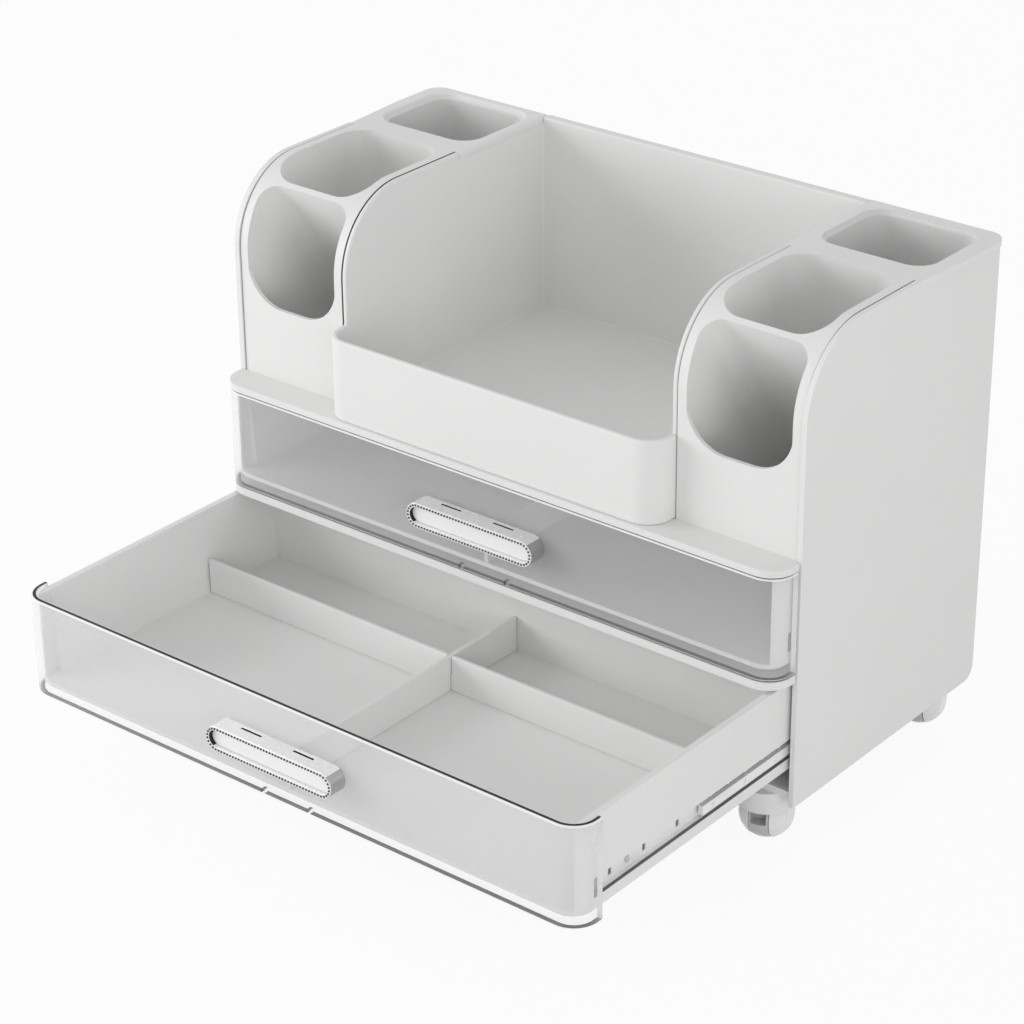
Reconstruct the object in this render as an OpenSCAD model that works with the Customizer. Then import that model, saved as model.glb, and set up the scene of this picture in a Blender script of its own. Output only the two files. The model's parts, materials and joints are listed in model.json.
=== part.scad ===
// Makeup organizer: a two-drawer cabinet on ball casters, with an open tray between two brush towers.
// Millimetres, +Z up, +Y towards the back, +X to the right as seen from the front.
// The origin is on the floor, in the middle of the footprint with the lower drawer drawn out.

/* [Cabinet] */
// Width across the two side panels
cabinet_w = 364; // [330:1:420]
// Depth of the side panels
cabinet_d = 166; // [160:1:200]
// Height from the lower edge of the side panels to the top of the rim
cabinet_h = 249; // [240:1:280]
// Thickness of the side panels
panel_t = 3; // [2.6:0.1:4]
// Radius of the curved upper front of the panels, towers and tray walls
arch_r = 44; // [38:1:50]
// Radius of the lower rear corner of the side panels
panel_corner_r = 8; // [3:0.5:12]
// Thickness of the base
base_t = 4; // [3:0.1:6]
// Height of the base above the lower edge of the side panels
base_lift = 3; // [1:0.5:5]
// Set-back of the base from the front edge of the side panels
base_setback = 2; // [0.5:0.5:5]
// Thickness of the shelf between the drawers
middle_shelf_t = 4.4; // [3.4:0.1:6]
// Thickness of the shelf over the drawers
top_shelf_t = 3.8; // [3.4:0.1:6]
// Thickness of the back panel
back_t = 2.4; // [2:0.1:3.5]
// Gap between the shelves' noses and the front edge of the side panels
nose_gap = 0.6; // [0.3:0.1:1.2]
// Diameter of the screws that hold the back panel
back_screw_d = 2.2; // [1.8:0.1:2.6]
// Length of the screws that hold the back panel
back_screw_l = 9; // [6:0.5:12]
// Distance between the screws of the back panel
back_screw_pitch = 120; // [80:1:140]

/* [Rim] */
// Thickness of the rim along the rear of the tower tops
rim_t = 3.6; // [2:0.1:4.5]
// Overhang of the rim beyond the side panels and the back
rim_out = 3; // [1:0.5:5]
// Distance from the front edge of the side panels to the start of the rim
rim_start = 93; // [90:1:104]
// Radius of the rim's rear corners
rim_r = 10; // [4:0.5:10]
// Length over which the rim widens to its full overhang
rim_blend = 40; // [10:1:60]

/* [Tray] */
// Outer width of the centre tray
tray_w = 214; // [180:1:230]
// Thickness of the tray walls
tray_wall = 2.8; // [2:0.1:4]
// Thickness of the tray floor
tray_floor_t = 2.4; // [1.6:0.1:4]
// Distance that the tray's front lip stands ahead of the side panels
lip_out = 16.5; // [8:0.5:17.5]
// Height of the tray's front lip
lip_h = 45; // [30:1:50]
// Outer radius of the lip's corners
lip_r = 14; // [8:0.5:20]

/* [Brush towers] */
// Set-back of the towers' front faces from the front edge of the side panels
tower_setback = 1; // [0.5:0.1:2]
// Gap between a tower and its neighbours
tower_gap = 0.5; // [0.3:0.1:1]
// Wall thickness of the towers
tower_wall = 2.2; // [1.6:0.1:3]
// Margin from a tower's sides to its wells
well_margin = 5; // [4:0.5:9]
// Depth of the front well at its mouth, front to back
front_well_l = 14.3; // [13:0.1:18]
// Backward lean of the front well's rear wall, in degrees
well_lean = 35; // [20:1:36]
// Radius of the front well's rear corners
front_well_r = 11; // [5:0.5:13]
// Height of the front mouth's lower edge above the shelf
front_mouth_low = 41; // [30:1:50]
// Radius of the front mouth's lower corners
front_mouth_r = 23; // [10:1:26]
// Wall between the front well and the middle well
well_web = 4; // [1.6:0.1:5]
// Height of the middle well's floor above the deck
middle_well_low = 40; // [20:1:60]
// Length of the middle well at its mouth, front to back
middle_well_l = 70; // [55:1:74]
// Corner radius of the middle well
middle_well_r = 15.5; // [8:0.5:20]
// Distance from the rear well to the rear face of the tower
rear_well_inset = 5; // [4.5:0.5:10]
// Length of the rear well, front to back
rear_well_l = 52; // [40:1:55]
// Corner radius of the rear well
rear_well_r = 10; // [5:0.5:14]
// Width of the step round the rear well's mouth
step_w = 2; // [1:0.1:3]
// Depth of the step round the rear well's mouth
step_h = 2.4; // [1:0.1:4]

/* [Drawers] */
// Height of the clear drawer fronts
front_h = 55; // [50:0.5:58]
// Thickness of the clear drawer fronts
front_t = 3; // [2.4:0.1:4]
// Distance that the drawer fronts stand ahead of the side panels
front_out = 18; // [17.5:0.5:24]
// Outer corner radius of the drawer fronts and of the shelves above them
front_r = 14; // [10:0.5:16]
// Inset of the drawer fronts from the outer faces of the side panels
front_inset = 1; // [0.5:0.1:1.6]
// Gap between the drawer fronts and what lies above, below and behind them
front_gap = 0.8; // [0.5:0.1:1.5]
// Height of the lower front's lower edge above the lower edge of the side panels
front_low = 15.5; // [13:0.5:18]
// Distance that the drawer fronts hang below the drawer boxes
front_drop = 4.5; // [3:0.5:6]
// Gap between a drawer box and its clear front
box_front_gap = 0.15; // [0.05:0.05:0.3]
// Gap between a drawer box and each side panel
box_side_gap = 2; // [1.6:0.1:2.4]
// Gap between a drawer box and the back panel
box_back_gap = 1.6; // [1:0.1:3]
// Distance from the top of a drawer front to the top of its box
box_top_drop = 1; // [0.5:0.1:2]
// Thickness of a drawer box's side walls at the top
box_wall = 3.5; // [3:0.1:4.5]
// Thickness of a drawer box's side walls behind the slide groove, at the floor
groove_back_t = 3.3; // [3:0.1:4.5]
// Thickness of a drawer box's floor
box_floor_t = 2.5; // [2:0.1:3.5]
// Thickness of a drawer box's rear wall
box_rear_t = 2.5; // [2:0.1:3.5]
// Thickness of the dividers
divider_t = 2.4; // [1.6:0.1:3.5]
// Height of the dividers
divider_h = 20; // [14:1:30]
// Distance from the drawer front's face to the middle of the cross divider
cross_at = 125; // [90:1:140]
// Clearance round the dividers
divider_gap = 0.3; // [0.2:0.05:0.5]
// Distance that the lower drawer is drawn out
lower_open = 151; // [0:1:156]
// Distance between the two notches in a drawer front's lower edge
notch_pitch = 30; // [20:1:50]
// Width of the notches in a drawer front's lower edge
notch_w = 1.8; // [1:0.1:3]
// Depth of the notches in a drawer front's lower edge
notch_h = 2.2; // [1:0.1:3]

/* [Slides] */
// Height of the slide rails
rail_h = 10; // [9:0.1:12]
// Length of the slide rails
rail_l = 150; // [130:1:154]
// Thickness of a whole slide, from the side panel to the drawer groove
slide_t = 6.2; // [5.8:0.1:7]
// Thickness of the rails' sheet metal
rail_sheet = 0.8; // [0.6:0.05:1]
// Width of the rails' flanges
rail_flange = 2.6; // [2.3:0.05:2.8]
// Thickness of the middle rails
middle_rail_t = 2.8; // [2.6:0.1:3.2]
// Diameter of the bearing balls
ball_d = 1.5; // [1.2:0.05:1.6]
// Running gap of the bearing balls
ball_gap = 0.05; // [0.02:0.01:0.08]
// Number of balls in a row
ball_count = 5; // [3:1:6]
// Distance between the balls in a row
ball_pitch = 14; // [8:0.5:14]
// Distance from the front edge of the side panels to the rails
rail_setback = 6; // [3:0.5:8]
// Height of the slide groove above the underside of the drawer box
groove_low = 6; // [4:0.5:8]
// Clearance above and below the rails in the groove
groove_gap = 0.3; // [0.2:0.05:0.5]
// Distance that the slide groove starts ahead of the front edge of the side panels
groove_lead = 2; // [1:0.5:4]
// Distance from the rails' front ends to their first slot
slot_first = 8; // [5:0.5:9]
// Distance between the slots in the rails
slot_pitch = 26; // [22:0.5:27]
// Width of the slots in the rails
slot_w = 2.4; // [1.5:0.1:4]
// Height of the slots in the rails
slot_h = 4; // [3:0.1:5]
// Length of the release window in the drawer rails
window_l = 12; // [8:0.5:14]
// Diameter of the rail screws
rail_screw_d = 2; // [1.6:0.1:2.4]
// Length of the rail screws below their heads
rail_screw_l = 2.2; // [2:0.1:2.4]
// Head thickness of the rail screws
rail_head_h = 0.6; // [0.4:0.05:0.6]

/* [Handles] */
// Length of a handle
handle_l = 82; // [70:1:110]
// Height of a handle
handle_h = 14; // [12:0.5:18]
// Depth of a handle, ahead of the drawer front
handle_d = 10.5; // [10:0.5:18]
// Height of a handle's middle above the drawer front's lower edge
handle_up = 28.5; // [20:0.5:38]
// Width of a handle's rim
handle_rim = 2.4; // [2.2:0.1:3]
// Depth of the recess in a handle's face
handle_recess = 4; // [3:0.1:5]
// Thickness of the plate set in a handle's recess
handle_plate_t = 2; // [1:0.1:2.6]
// Thickness of the wall behind a handle's recess
handle_web = 1.6; // [1:0.1:2.5]
// Diameter of the stones round a handle's rim
stone_d = 1.3; // [1:0.05:1.7]
// Height of the stones round a handle's rim
stone_h = 0.7; // [0.3:0.05:1]
// Distance between the stones round a handle's rim
stone_pitch = 1.9; // [1.8:0.05:3.5]
// Length of the slots in a handle's top
handle_slot_l = 13; // [8:0.5:16]
// Distance between the slots in a handle's top
handle_slot_pitch = 34; // [24:0.5:38]
// Distance between the handle screws
handle_screw_pitch = 56; // [44:0.5:60]
// Diameter of the handle screws
handle_screw_d = 2.4; // [2:0.1:3]
// Diameter of the handle screws' heads
handle_head_d = 5; // [4:0.1:6]
// Thickness of the handle screws' heads
handle_head_h = 1.6; // [1:0.1:2.5]

/* [Casters] */
// Height of the lower edge of the side panels above the floor
caster_h = 29.5; // [29:0.1:34]
// Diameter of the ball that a pair of caster wheels and the swivel body form
roller_d = 28.6; // [26:0.1:28.8]
// Width across a pair of caster wheels
wheel_w = 25.6; // [22:0.1:25.8]
// Width of the swivel body between the wheels
fork_w = 10.4; // [8:0.1:12]
// Gap round the swivel body
fork_gap = 0.3; // [0.2:0.05:0.6]
// Diameter of the wheel axles
axle_d = 3; // [2.5:0.1:4]
// Outer diameter of the cups over the casters
cup_d = 32; // [31.8:0.1:34]
// Wall thickness of the cups
cup_wall = 1.5; // [1.2:0.1:1.6]
// Distance that the cups hang below the tops of the balls
cup_lap = 7.1; // [2:0.1:7.5]
// Thickness of the cups' tops
cup_top = 3; // [2:0.1:3.4]
// Diameter of the casters' swivel stems
stem_d = 5; // [4:0.1:6]
// Distance from the swivel axis to the wheel axle
trail = 1.5; // [0.5:0.1:1.8]
// Turn of the casters about their stems
caster_yaw = 15; // [0:1:90]
// Distance from the side panels' outer faces to the swivel axes
caster_inset_x = 24; // [20:0.5:40]
// Distance from the side panels' front and rear edges to the swivel axes
caster_inset_y = 12; // [10:0.5:30]

/* [Fits] */
// Running clearance of stems and axles, on the radius
run_gap = 0.05; // [0.02:0.01:0.1]
// Clearance of screws in their holes, on the radius
screw_gap = 0.03; // [0.02:0.01:0.1]

/* [Hidden] */
$fn = 48;
cut = 1;
half_w = cabinet_w / 2;
inner_half = half_w - panel_t;
front_half = half_w - front_inset;

// Heights above the floor
body_z = caster_h;
base_z = body_z + base_lift;
lower_z = body_z + front_low;
middle_z = lower_z + front_h + front_gap;
upper_z = middle_z + middle_shelf_t + front_gap;
top_z = upper_z + front_h + front_gap;
deck_z = top_z + top_shelf_t;
rim_z = body_z + cabinet_h;

// How far the rear wheels reach behind their stems at rest
wheel_inner = fork_w / 2 + fork_gap;
roller_r = roller_d / 2;
far_x = min(wheel_w / 2, max(wheel_inner, roller_r * sin(caster_yaw)));
wheel_reach = far_x * sin(caster_yaw)
    + (sqrt(roller_r * roller_r - far_x * far_x) + trail) * cos(caster_yaw);

// The side panels' front edge, placed so that the footprint at rest is centred on the origin to 0.1 mm
front_reach = front_out + lower_open + handle_d + stone_h;
rear_reach = cabinet_d + max(rim_out, max(wheel_reach, cup_d / 2) - caster_inset_y);
body_y = round(5 * (front_reach - rear_reach)) / 10;
rear_y = body_y + cabinet_d;
plate_rear_y = rear_y - back_t;
front_y = body_y - front_out;

// Drawer boxes, from the front's outer face and lower edge
box_half = inner_half - box_side_gap;
box_end = front_out + cabinet_d - back_t - box_back_gap;
box_top = front_h - box_top_drop;
box_floor = front_drop + box_floor_t;
groove_d = slide_t - box_side_gap;
box_foot = groove_d + groove_back_t;
box_r = front_r - front_t;
box_y = front_t + box_front_gap;
groove_z = front_drop + groove_low;
groove_h = rail_h + 2 * groove_gap;
groove_start = front_out - groove_lead;
rail_z = groove_z + groove_gap;
rail_y = front_out + rail_setback;

// Slides, from the inner face of the side panel towards the drawer
bar_x = (slide_t - middle_rail_t) / 2;
bar_h = rail_h - 2 * rail_sheet - 2 * ball_d - 4 * ball_gap;
ball_z = bar_h / 2 + ball_gap + ball_d / 2;
ball_x = bar_x + ball_gap + 0.3 * ball_d;
slot_count = 6;
window_slot = 3;
rail_screw_at = [slot_first + slot_pitch / 2, slot_first + (slot_count - 1.5) * slot_pitch];
rail_head_d = 1.8 * rail_screw_d;

// Brush towers
tower_in = tray_w / 2 + tower_gap;
tower_out = inner_half - tower_gap;
tower_y = body_y + tower_setback;
well_in = tower_in + well_margin;
well_out = tower_out - well_margin;
well_floor_z = deck_z + tower_wall;
front_well_y = tower_y + tower_wall;
front_well_end = front_well_y + front_well_l;
middle_well_y = front_well_end + well_web;
middle_well_end = middle_well_y + middle_well_l;
rear_well_y = rear_y - rear_well_inset - rear_well_l;
mouth_r = min(front_mouth_r, (well_out - well_in) / 2 - tower_wall);
// Height of the curved front at the rear edge of the front mouth, to 0.1 mm
web_back = arch_r - front_well_end + tower_y;
web_z = round(10 * (rim_z - arch_r + sqrt(arch_r * arch_r - web_back * web_back))) / 10;

// Casters
axle_z = sqrt(roller_r * roller_r - wheel_inner * wheel_inner);
cup_z = axle_z + roller_r - cup_lap;
cup_h = base_z - cup_z;
caster_x = half_w - caster_inset_x;
caster_front_y = body_y + caster_inset_y;
caster_rear_y = rear_y - caster_inset_y;
neck_z = base_z - cup_top - fork_gap;
stem_top_z = base_z + base_t + fork_gap;

plastic = [0.90, 0.90, 0.89];
clear = [0.86, 0.89, 0.90, 0.35];
steel = [0.70, 0.71, 0.73];
chrome = [0.80, 0.81, 0.83];
pearl = [0.95, 0.95, 0.95];
crystal = [0.92, 0.94, 0.97];

// Shapes that several pieces share

// Draws the children's outline, given in Y and Z, as a prism from x0 to x1.
module side_prism(x0, x1) {
    translate([x0, 0, 0]) rotate([90, 0, 90]) linear_extrude(x1 - x0) children();
}

// Mirrors the children to the left when the side is "left".
module on_side(side) {
    if (side == "left") mirror([1, 0, 0]) children();
    else children();
}

// Outline in Y and Z with a quarter circle of radius r at its upper front.
module arch_2d(y0, y1, z0, z1, r) {
    difference() {
        translate([y0, z0]) square([y1 - y0, z1 - z0]);
        translate([y0 + r, z1 - r]) difference() {
            translate([-r - cut, 0]) square(r + cut);
            circle(r);
        }
    }
}

// Rectangle with four corners of radius r.
module round_2d(x0, x1, y0, y1, r) {
    translate([x0 + r, y0]) square([x1 - x0 - 2 * r, y1 - y0]);
    translate([x0, y0 + r]) square([x1 - x0, y1 - y0 - 2 * r]);
    for (x = [x0 + r, x1 - r], y = [y0 + r, y1 - r]) translate([x, y]) circle(r);
}

// Rectangle whose two corners at the low y have radius r.
module round_front_2d(half, y0, y1, r) {
    translate([-half + r, y0]) square([2 * (half - r), y1 - y0]);
    translate([-half, y0 + r]) square([2 * half, y1 - y0 - r]);
    for (x = [-half + r, half - r]) intersection() {
        translate([x, y0 + r]) circle(r);
        translate([-half, y0]) square([2 * half, r]);
    }
}

// Rectangle whose two corners at the high y have radius r.
module round_rear_2d(x0, x1, y0, y1, r) {
    translate([x0 + r, y0]) square([x1 - x0 - 2 * r, y1 - y0]);
    translate([x0, y0]) square([x1 - x0, y1 - y0 - r]);
    for (x = [x0 + r, x1 - r]) intersection() {
        translate([x, y1 - r]) circle(r);
        translate([x0, y1 - r]) square([x1 - x0, r]);
    }
}

// Slot outline of length l and height h, centred on the origin.
module pill_2d(l, h) {
    square([l - h, h], center = true);
    for (x = [-1, 1]) translate([x * (l - h) / 2, 0]) circle(h / 2);
}

// Cabinet

module side_panel(side) {
    color(plastic) on_side(side) difference() {
        side_prism(inner_half, half_w) difference() {
            arch_2d(body_y, rear_y, body_z, rim_z, arch_r);
            translate([body_y + rim_start, rim_z - rim_t]) square([cabinet_d, rim_t + cut]);
            translate([rear_y - panel_corner_r, body_z]) difference() {
                translate([0, -cut]) square(panel_corner_r + cut);
                translate([0, panel_corner_r]) circle(panel_corner_r);
            }
        }
        for (z = [lower_z, upper_z]) rail_screw_holes(inner_half, z);
    }
}

module left_side_panel() side_panel("left");
module right_side_panel() side_panel("right");

// Holes for a slide's two screws, cut outwards from the plane x.
module rail_screw_holes(x, z) {
    for (at = rail_screw_at)
        translate([x - cut, front_y + rail_y + at, z + rail_z + rail_h / 2]) rotate([0, 90, 0])
            cylinder(d = rail_screw_d + 2 * screw_gap, h = cut + rail_screw_l - rail_sheet);
}

// Places the children at the back panel's screws, with +Z pointing into the cabinet.
module at_back_screws() {
    for (x = [-1, 0, 1] * back_screw_pitch,
         z = [base_z + base_t / 2, middle_z + middle_shelf_t / 2, top_z + top_shelf_t / 2])
        translate([x, rear_y, z]) rotate([90, 0, 0]) children();
}

module back_screw_holes() {
    at_back_screws() translate([0, 0, -cut])
        cylinder(d = back_screw_d + 2 * screw_gap, h = back_screw_l + cut);
}

module back_panel() {
    color(plastic) difference() {
        translate([-inner_half, plate_rear_y, base_z]) cube([2 * inner_half, back_t, deck_z - base_z]);
        back_screw_holes();
    }
}

module back_screws() {
    color(steel) at_back_screws() {
        cylinder(d = back_screw_d, h = back_screw_l);
        translate([0, 0, -0.6 * back_screw_d]) cylinder(d = 2 * back_screw_d, h = 0.6 * back_screw_d);
    }
}

module at_casters() {
    for (x = [-caster_x, caster_x], y = [caster_front_y, caster_rear_y]) translate([x, y, 0]) children();
}

module base_panel() {
    color(plastic) difference() {
        translate([-inner_half, body_y + base_setback, base_z])
            cube([2 * inner_half, cabinet_d - back_t - base_setback, base_t]);
        at_casters() translate([0, 0, base_z - cut])
            cylinder(d = stem_d + 2 * fork_gap, h = base_t + 2 * cut);
        back_screw_holes();
    }
}

// Shelf between the side panels with a round-cornered nose as far out as the drawer fronts.
module shelf(z, t) {
    color(plastic) difference() {
        translate([0, 0, z]) linear_extrude(t) {
            translate([-inner_half, body_y - nose_gap])
                square([2 * inner_half, plate_rear_y - body_y + nose_gap]);
            round_front_2d(front_half, front_y, body_y - nose_gap, front_r);
        }
        back_screw_holes();
    }
}

module middle_shelf() shelf(middle_z, middle_shelf_t);
module top_shelf() shelf(top_z, top_shelf_t);

// Tray

module centre_tray() {
    tray_half = tray_w / 2;
    tray_in = tray_half - tray_wall;
    lip_y = body_y - lip_out;
    lip_z = deck_z + lip_h;
    color(plastic) {
        difference() {
            translate([0, 0, deck_z]) linear_extrude(lip_h)
                round_front_2d(tray_half, lip_y, rear_y, lip_r);
            translate([0, 0, deck_z + tray_floor_t]) linear_extrude(lip_h)
                round_front_2d(tray_in, lip_y + tray_wall, rear_y - tray_wall, lip_r - tray_wall);
        }
        for (side = ["left", "right"]) on_side(side) side_prism(tray_in, tray_half) difference() {
            arch_2d(tower_y, rear_y, lip_z, rim_z, arch_r);
            translate([body_y + rim_start, rim_z - rim_t]) square([cabinet_d, rim_t + cut]);
        }
        translate([-tray_in, rear_y - tray_wall, lip_z]) cube([2 * tray_in, tray_wall, rim_z - lip_z]);
        translate([-tray_in, rear_y - tray_wall, rim_z - rim_t])
            cube([2 * tray_in, tray_wall + rim_out, rim_t]);
    }
}

// Brush towers

// Round-cornered prism of a well of length l behind y, from z up through the top, grown by wall.
module well(y, l, r, z, wall) {
    translate([0, 0, z]) linear_extrude(rim_z - z + cut)
        round_2d(well_in - wall, well_out + wall, y - wall, y + l + wall, r + wall);
}

// Turns the children about the line at y under the mouths' edges, so that they lean back as they go down.
module leaning(y) {
    translate([0, y, web_z]) rotate([well_lean, 0, 0]) translate([0, 0, 2 * (deck_z - rim_z)]) children();
}

// Front well with its opening in the curved front, above an edge with round lower corners.
module front_well() {
    mouth_z = deck_z + front_mouth_low;
    lap = 0.5;
    intersection() {
        leaning(front_well_end) linear_extrude(3 * (rim_z - deck_z))
            round_rear_2d(well_in, well_out, -2 * arch_r, 0, front_well_r);
        union() {
            translate([tower_in, front_well_y, well_floor_z])
                cube([tower_out - tower_in, middle_well_end - front_well_y, cabinet_h]);
            translate([0, front_well_end, 0]) rotate([90, 0, 0]) linear_extrude(2 * front_well_l)
                round_2d(well_in - lap, well_out + lap, mouth_z, rim_z + 2 * mouth_r, mouth_r);
        }
    }
}

// Middle well, whose front wall leans back over the front well.
module middle_well() {
    intersection() {
        leaning(middle_well_y) linear_extrude(4 * (rim_z - deck_z)) mirror([0, 1, 0])
            round_rear_2d(well_in, well_out, -3 * arch_r, 0, middle_well_r);
        translate([0, 0, deck_z + middle_well_low]) linear_extrude(cabinet_h)
            round_rear_2d(well_in, well_out, tower_y, middle_well_end, middle_well_r);
    }
}

// Tower before its wells are cut, hollow from below between the middle well and the rear well.
module tower_block() {
    w = tower_wall;
    hollow_l = rear_well_y - middle_well_end - 2 * w;
    difference() {
        side_prism(tower_in, tower_out) arch_2d(tower_y, rear_y, deck_z, rim_z, arch_r);
        translate([tower_in + w, middle_well_end + w, deck_z - cut])
            cube([tower_out - tower_in - 2 * w, hollow_l, rim_z - deck_z + cut - w]);
    }
}

// Rim of the right tower, which widens from the side panel's face to its full overhang.
module tower_rim() {
    rim_in = tray_w / 2 - tray_wall;
    rim_y = body_y + rim_start;
    wide = rim_out + cut;
    translate([0, 0, rim_z - rim_t]) linear_extrude(rim_t) intersection() {
        polygon([
            [rim_in, rim_y], [half_w, rim_y], [half_w + wide, rim_y + rim_blend * wide / rim_out],
            [half_w + wide, rear_y + wide], [rim_in, rear_y + wide]
        ]);
        round_2d(0, half_w + rim_out, body_y, rear_y + rim_out, rim_r);
    }
}

module brush_tower(side) {
    color(plastic) on_side(side) difference() {
        union() {
            tower_block();
            tower_rim();
        }
        front_well();
        middle_well();
        well(rear_well_y, rear_well_l, rear_well_r, well_floor_z, 0);
        well(rear_well_y, rear_well_l, rear_well_r, rim_z - step_h, step_w);
    }
}

module left_brush_tower() brush_tower("left");
module right_brush_tower() brush_tower("right");

// Drawers, drawn from the front's outer face at y = 0 and its lower edge at z = 0

module at_upper() translate([0, front_y, upper_z]) children();
module at_lower() translate([0, front_y - lower_open, lower_z]) children();

// Plan of a drawer box's side and rear walls. The side walls end against the clear front's corners.
module box_walls_2d() {
    opening = box_half - box_wall;
    difference() {
        round_front_2d(box_half, box_y, box_end, box_r);
        round_front_2d(box_half - box_wall, box_y + box_wall, box_end - box_rear_t, box_r - box_wall);
        translate([-opening, 0]) square([2 * opening, box_y + box_r]);
    }
}

module drawer_box() {
    wedge_y = box_y + box_r;
    color(plastic) difference() {
        union() {
            translate([0, 0, front_drop]) linear_extrude(box_floor_t)
                round_front_2d(box_half, box_y, box_end, box_r);
            translate([0, 0, box_floor]) linear_extrude(box_top - box_floor) box_walls_2d();
            for (side = ["left", "right"]) on_side(side)
                translate([box_half - box_wall, box_end - box_rear_t, 0]) rotate([90, 0, 0])
                    linear_extrude(box_end - box_rear_t - wedge_y)
                        polygon([[0, box_floor], [0, box_top], [box_wall - box_foot, box_floor]]);
        }
        for (side = ["left", "right"]) on_side(side) {
            translate([box_half - groove_d, groove_start, groove_z])
                cube([groove_d + cut, box_end, groove_h]);
            for (at = rail_screw_at)
                translate([box_half - groove_d + cut, rail_y + at, rail_z + rail_h / 2]) rotate([0, -90, 0])
                    cylinder(d = rail_screw_d + 2 * screw_gap, h = cut + rail_screw_l - rail_sheet);
        }
    }
}

module clear_front() {
    color(clear) difference() {
        linear_extrude(front_h) difference() {
            round_front_2d(front_half, 0, front_out - front_gap, front_r);
            round_front_2d(front_half - front_t, front_t, front_out + cut, box_r);
        }
        for (x = [-1, 1] * notch_pitch / 2)
            translate([x - notch_w / 2, -cut, -cut]) cube([notch_w, front_t + 2 * cut, notch_h + cut]);
        for (x = [-1, 1] * handle_screw_pitch / 2)
            translate([x, -cut, handle_up]) rotate([-90, 0, 0])
                cylinder(d = handle_screw_d + 2 * screw_gap, h = front_t + 2 * cut);
    }
}

module cross_divider() {
    half = box_half - box_foot - divider_gap;
    color(plastic) difference() {
        translate([-half, cross_at - divider_t / 2, box_floor]) cube([2 * half, divider_t, divider_h]);
        translate([-divider_t / 2 - divider_gap, cross_at - divider_t, box_floor + divider_h / 2])
            cube([divider_t + 2 * divider_gap, 2 * divider_t, divider_h]);
    }
}

module long_divider() {
    y0 = front_t + divider_gap;
    y1 = box_end - box_rear_t - divider_gap;
    color(plastic) difference() {
        translate([-divider_t / 2, y0, box_floor]) cube([divider_t, y1 - y0, divider_h]);
        translate([-divider_t, cross_at - divider_t / 2 - divider_gap, box_floor - cut])
            cube([2 * divider_t, divider_t + 2 * divider_gap, divider_h / 2 + cut]);
    }
}

// Handles, with the outline's plane turned to face forwards

module at_handle() translate([0, 0, handle_up]) rotate([90, 0, 0]) children();

module handle_frame() {
    inner_l = handle_l - 2 * handle_rim;
    inner_h = handle_h - 2 * handle_rim;
    cavity_d = handle_d - handle_recess - handle_web;
    slot_d = 0.25 * cavity_d;
    color(chrome) at_handle() difference() {
        union() {
            difference() {
                linear_extrude(handle_d) pill_2d(handle_l, handle_h);
                translate([0, 0, handle_d - handle_recess]) linear_extrude(handle_recess + cut)
                    pill_2d(inner_l, inner_h);
                translate([0, 0, -cut]) linear_extrude(cavity_d + cut) pill_2d(inner_l, inner_h);
            }
            for (x = [-1, 1] * handle_screw_pitch / 2)
                translate([x, 0, 0]) cylinder(d = 2 * handle_screw_d, h = handle_d - handle_recess);
        }
        for (x = [-1, 1] * handle_screw_pitch / 2)
            translate([x, 0, -cut]) cylinder(d = handle_screw_d + 2 * screw_gap, h = cavity_d + cut);
        for (x = [-1, 1] * handle_slot_pitch / 2)
            translate([x - handle_slot_l / 2, inner_h / 2 - cut, cavity_d - 2 * slot_d])
                cube([handle_slot_l, handle_rim + 2 * cut, slot_d]);
    }
}

module handle_plate() {
    plate_gap = 0.1;
    color(pearl) at_handle() translate([0, 0, handle_d - handle_recess]) linear_extrude(handle_plate_t)
        pill_2d(handle_l - 2 * handle_rim - 2 * plate_gap, handle_h - 2 * handle_rim - 2 * plate_gap);
}

// Point at distance s along the middle of a handle's rim.
function rim_point(s) =
    let (
        run = handle_l - handle_h,
        r = (handle_h - handle_rim) / 2,
        bend = PI * r
    )
    s < run ? [s - run / 2, r]
    : s < run + bend ? let (a = 90 - 180 * (s - run) / bend) [run / 2 + r * cos(a), r * sin(a)]
    : s < 2 * run + bend ? [run / 2 - (s - run - bend), -r]
    : let (a = 270 - 180 * (s - 2 * run - bend) / bend) [-run / 2 + r * cos(a), r * sin(a)];

module handle_stones() {
    rim_path = 2 * (handle_l - handle_h) + PI * (handle_h - handle_rim);
    count = floor(rim_path / stone_pitch);
    color(crystal) at_handle() for (i = [0 : count - 1])
        translate([each rim_point(i * rim_path / count), handle_d])
            cylinder(d1 = stone_d, d2 = 0.6 * stone_d, h = stone_h, $fn = 16);
}

module handle_screws() {
    cavity_d = handle_d - handle_recess - handle_web;
    color(steel) at_handle() for (x = [-1, 1] * handle_screw_pitch / 2) translate([x, 0, 0]) {
        translate([0, 0, -front_t]) cylinder(d = handle_screw_d, h = front_t + 0.8 * cavity_d);
        translate([0, 0, -front_t - handle_head_h]) cylinder(d = handle_head_d, h = handle_head_h);
    }
}

// Slides, drawn with x from the side panel's inner face inwards and y from the rails' front ends

// Places the children at a slide, on one side of a drawer that stands at z and is drawn out by open.
module at_slide(side, z, open) {
    on_side(side) translate([inner_half, front_y + rail_y - open, z + rail_z + rail_h / 2])
        mirror([1, 0, 0]) children();
}

// C-shaped rail with its web at x = 0 and its flanges towards +x.
module channel() {
    difference() {
        translate([0, 0, -rail_h / 2]) cube([rail_flange, rail_l, rail_h]);
        translate([rail_sheet, -cut, rail_sheet - rail_h / 2])
            cube([rail_flange, rail_l + 2 * cut, rail_h - 2 * rail_sheet]);
        for (at = rail_screw_at) translate([-cut, at, 0]) rotate([0, 90, 0])
            cylinder(d = rail_screw_d + 2 * screw_gap, h = rail_sheet + 2 * cut);
    }
}

module cabinet_rail(side, z) color(steel) at_slide(side, z, 0) channel();

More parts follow.
